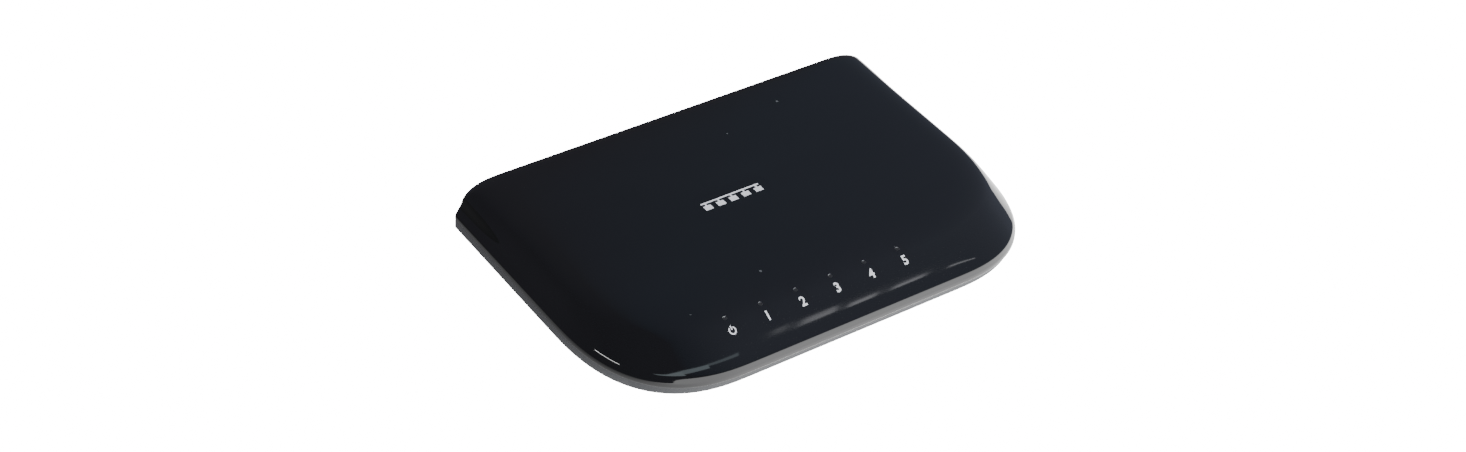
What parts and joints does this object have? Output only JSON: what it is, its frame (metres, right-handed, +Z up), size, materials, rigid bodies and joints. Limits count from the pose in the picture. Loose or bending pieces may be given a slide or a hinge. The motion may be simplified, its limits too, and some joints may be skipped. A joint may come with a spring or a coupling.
{
  "type": "desktop network switch",
  "caption": "Rounded gloss-black desktop network switch with a sloping front, indicator windows, rear cable sockets and a low voltage inlet.",
  "frame": {"origin": "on the table under the middle of the case's box", "axes": "+Z up, the sloping front with its indicators faces -Y, the sockets face +Y, +X to the right seen from the front"},
  "size_m": [0.165, 0.11, 0.028],
  "materials": {
    "gloss_black": "high gloss, nearly black with a blue cast",
    "matte_black": "fine matte texture, dark grey",
    "board_green": "green solder mask, satin",
    "clear_plastic": "clear moulded acrylic",
    "jack_plastic": "black moulded nylon, satin",
    "gold_contact": "gold flashed spring wire",
    "tin_metal": "tin plated, bright",
    "chip_black": "black epoxy, matte",
    "sink_metal": "bare extruded aluminium",
    "copper_winding": "enamelled copper winding",
    "capacitor_sleeve": "dark blue shrink sleeve",
    "chip_ceramic": "tan ceramic",
    "lamp_clear": "clear epoxy over a die",
    "screw_dark": "black zinc plated",
    "foot_rubber": "soft black rubber",
    "label_paper": "blank silver-grey label"
  },
  "bodies": {
    "root": {"top_cover": "gloss_black", "bottom_shell": "matte_black", "circuit_board": "board_green", "light_guide": "clear_plastic", "jack_housing_1": "jack_plastic", "jack_contacts_1": "gold_contact", "magnetics_1": "chip_black", "jack_housing_2": "jack_plastic", "jack_contacts_2": "gold_contact", "magnetics_2": "chip_black", "jack_housing_3": "jack_plastic", "jack_contacts_3": "gold_contact", "magnetics_3": "chip_black", "jack_housing_4": "jack_plastic", "jack_contacts_4": "gold_contact", "magnetics_4": "chip_black", "jack_housing_5": "jack_plastic", "jack_contacts_5": "gold_contact", "magnetics_5": "chip_black", "power_inlet_body": "jack_plastic", "power_inlet_pin": "tin_metal", "power_inlet_spring": "gold_contact", "switch_chip": "chip_black", "switch_chip_leads": "tin_metal", "heatsink": "sink_metal", "memory_chip": "chip_black", "crystal": "tin_metal", "power_inductor": "chip_black", "filter_inductor": "copper_winding", "regulator": "chip_black", "capacitor_1": "capacitor_sleeve", "capacitor_2": "capacitor_sleeve", "capacitor_3": "capacitor_sleeve", "surface_parts": "chip_ceramic", "indicator_power": "lamp_clear", "indicator_1": "lamp_clear", "indicator_2": "lamp_clear", "indicator_3": "lamp_clear", "indicator_4": "lamp_clear", "indicator_5": "lamp_clear", "board_screws": "tin_metal", "case_screws": "screw_dark", "foot_front_left": "foot_rubber", "foot_front_right": "foot_rubber", "foot_rear_left": "foot_rubber", "foot_rear_right": "foot_rubber", "rating_label": "label_paper"}
  },
  "joints": []
}
